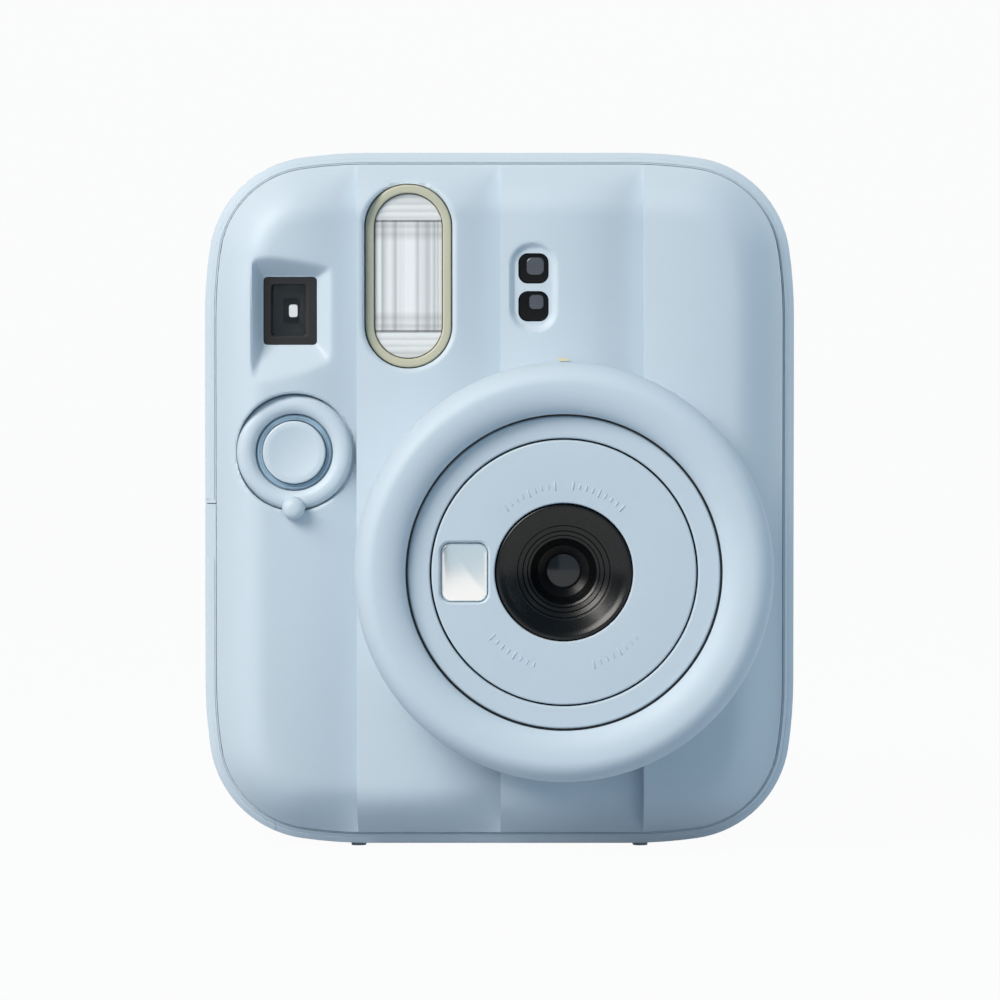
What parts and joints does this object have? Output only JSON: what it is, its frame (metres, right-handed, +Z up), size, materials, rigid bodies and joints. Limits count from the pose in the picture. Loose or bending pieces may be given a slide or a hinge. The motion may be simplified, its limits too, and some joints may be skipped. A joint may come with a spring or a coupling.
{
  "type": "instant camera",
  "caption": "Upright pale blue instant film camera with a pleated front, a large twist-ring lens, a tall flash, a square viewfinder, a shutter button with timer lever, and a film door behind.",
  "frame": {"origin": "on the plane of the feet, under the middle of the camera's box", "axes": "+Z up, -Y the way the lens looks, +X to the right seen from the front"},
  "size_m": [0.104, 0.0666, 0.1226],
  "materials": {
    "cover_plastic": "fine satin moulded plastic, pale blue",
    "shell_plastic": "fine satin moulded plastic, pale blue",
    "door_plastic": "fine satin moulded plastic, pale blue",
    "ring_plastic": "satin moulded plastic, pale blue",
    "barrel_plastic": "satin moulded plastic, pale blue",
    "button_plastic": "semi-gloss plastic, pale blue",
    "light_ring_plastic": "smoky blue-grey light guide",
    "black_plastic": "matte black, light-absorbing",
    "flash_gasket_plastic": "olive grey moulded frame",
    "clear_plastic": "clear moulded window",
    "dark_glass": "dark tinted window",
    "lens_glass": "coated lens",
    "amber_window": "amber clear plastic",
    "mirror_face": "convex mirror face",
    "reflector_metal": "bright reflector",
    "pin_steel": "steel pin",
    "spring_steel": "spring steel",
    "screw_steel": "blackened steel",
    "strap_steel": "polished steel bar",
    "foam": "black foam seal",
    "pack_plastic": "black film cartridge",
    "film_white": "white film sheets",
    "gear_plastic": "white acetal",
    "roller_rubber": "dark rubber sleeve",
    "motor_can": "plated can",
    "board_green": "solder mask green",
    "capacitor_sleeve": "black sleeve",
    "cell_wrap": "plain cell wrap",
    "contact_nickel": "nickel plated spring strip",
    "dial_plastic": "white counter dial",
    "mark_paint": "cream mark",
    "foot_plastic": "soft pale blue foot",
    "tunnel_black": "matte black tunnel"
  },
  "bodies": {
    "root": {"front_cover": "cover_plastic", "rear_shell": "shell_plastic", "lens_base_tube": "black_plastic", "index_mark": "mark_paint", "shutter_plate": "black_plastic", "shutter_solenoid": "contact_nickel", "flash_gasket": "flash_gasket_plastic", "flash_window": "clear_plastic", "flash_reflector": "reflector_metal", "flash_tube": "lens_glass", "viewfinder_tunnel": "tunnel_black", "viewfinder_front_lens": "clear_plastic", "viewfinder_rear_lens": "clear_plastic", "eyepiece_frame": "black_plastic", "sensor_plate": "cover_plastic", "upper_sensor_window": "dark_glass", "lower_sensor_window": "dark_glass", "timer_light_ring": "light_ring_plastic", "chassis": "black_plastic", "case_screws": "screw_steel", "light_seal": "foam", "light_tunnel": "tunnel_black", "film_pack": "pack_plastic", "film_sheets": "film_white", "motor": "motor_can", "roller_bracket": "black_plastic", "motor_plate": "motor_can", "main_board": "board_green", "flash_capacitor": "capacitor_sleeve", "battery_box": "black_plastic", "battery_cells": "cell_wrap", "battery_contacts": "contact_nickel", "counter_window": "clear_plastic", "strap_bars": "strap_steel", "feet": "foot_plastic", "door_hinge_pin": "pin_steel", "battery_door_pin": "pin_steel"},
    "lens_ring": {"lens_grip_ring": "ring_plastic"},
    "outer_barrel": {"outer_barrel": "barrel_plastic"},
    "inner_barrel": {"inner_barrel": "barrel_plastic", "selfie_mirror": "mirror_face", "lens_hood_cone": "black_plastic", "front_lens": "lens_glass", "rear_lens": "lens_glass"},
    "shutter_button": {"shutter_button": "button_plastic", "button_dome": "roller_rubber"},
    "self_timer_lever": {"self_timer_lever": "button_plastic"},
    "film_door": {"film_door": "door_plastic", "film_window": "amber_window", "pressure_springs": "spring_steel"},
    "door_latch": {"door_latch": "button_plastic"},
    "battery_door": {"battery_door": "door_plastic"},
    "drive_roller": {"drive_roller": "roller_rubber"},
    "pinch_roller": {"pinch_roller": "roller_rubber"},
    "idler_gear": {"idler_gear": "gear_plastic"},
    "motor_pinion": {"motor_pinion": "gear_plastic"},
    "shutter_blade": {"shutter_blade": "black_plastic"},
    "film_claw": {"film_claw": "pin_steel"},
    "counter_dial": {"counter_dial": "dial_plastic"}
  },
  "joints": [
    {"name": "lens_ring_twist", "type": "hinge", "parent": "root", "child": "lens_ring", "pos_m": [0.0111, -0.025, 0.0495], "axis": [0, 1, 0], "range_deg": [0, 70]},
    {"name": "outer_barrel_slide", "type": "slide", "parent": "root", "child": "outer_barrel", "axis": [0, -1, 0], "range_m": [0, 0.0072]},
    {"name": "inner_barrel_slide", "type": "slide", "parent": "outer_barrel", "child": "inner_barrel", "axis": [0, -1, 0], "range_m": [0, 0.0072]},
    {"name": "shutter_button_press", "type": "slide", "parent": "root", "child": "shutter_button", "axis": [0, 1, 0], "range_m": [0, 0.0012], "stiffness_N_per_m": 600, "springref_m": -0.0005},
    {"name": "timer_lever_turn", "type": "hinge", "parent": "root", "child": "self_timer_lever", "pos_m": [-0.0359, -0.0145, 0.0699], "axis": [0, 1, 0], "range_deg": [0, 60]},
    {"name": "film_door_hinge", "type": "hinge", "parent": "root", "child": "film_door", "pos_m": [0.0095, 0.0314, 0.0086], "axis": [-1, 0, 0], "range_deg": [0, 90]},
    {"name": "door_latch_slide", "type": "slide", "parent": "film_door", "child": "door_latch", "axis": [0, 0, -1], "range_m": [0, 0.003], "stiffness_N_per_m": 200, "springref_m": -0.001},
    {"name": "battery_door_hinge", "type": "hinge", "parent": "root", "child": "battery_door", "pos_m": [-0.05095, 0.019, 0.035], "axis": [0, 0, -1], "range_deg": [0, 88]},
    {"name": "drive_roller_spin", "type": "hinge", "parent": "root", "child": "drive_roller", "pos_m": [0.0111, 0.0108, 0.108], "axis": [1, 0, 0], "continuous": true},
    {"name": "pinch_roller_spin", "type": "hinge", "parent": "root", "child": "pinch_roller", "pos_m": [0.0111, 0.0192, 0.108], "axis": [1, 0, 0], "continuous": true},
    {"name": "idler_gear_spin", "type": "hinge", "parent": "root", "child": "idler_gear", "pos_m": [-0.023, 0.0108, 0.093], "axis": [1, 0, 0], "continuous": true},
    {"name": "motor_pinion_spin", "type": "hinge", "parent": "root", "child": "motor_pinion", "pos_m": [-0.023, 0.0108, 0.0786], "axis": [1, 0, 0], "continuous": true},
    {"name": "shutter_blade_swing", "type": "hinge", "parent": "root", "child": "shutter_blade", "pos_m": [0.0201, -0.0101, 0.0585], "axis": [0, 1, 0], "range_deg": [0, 35], "stiffness_Nm_per_rad": 0.0004, "springref_deg": -17.19},
    {"name": "film_claw_slide", "type": "slide", "parent": "root", "child": "film_claw", "axis": [0, 0, 1], "range_m": [0, 0.005], "stiffness_N_per_m": 60, "springref_m": -0.002},
    {"name": "counter_dial_turn", "type": "hinge", "parent": "root", "child": "counter_dial", "pos_m": [-0.03665, 0.0294, 0.072], "axis": [0, 1, 0], "range_deg": [0, 330]}
  ],
  "couplings": [
    {"joint": "outer_barrel_slide", "follows": "lens_ring_twist", "m_per_rad": 0.0057296},
    {"joint": "inner_barrel_slide", "follows": "lens_ring_twist", "m_per_rad": 0.0057296},
    {"joint": "pinch_roller_spin", "follows": "drive_roller_spin", "ratio": -1},
    {"joint": "idler_gear_spin", "follows": "drive_roller_spin", "ratio": -0.38889},
    {"joint": "motor_pinion_spin", "follows": "drive_roller_spin", "ratio": 1.1667}
  ]
}
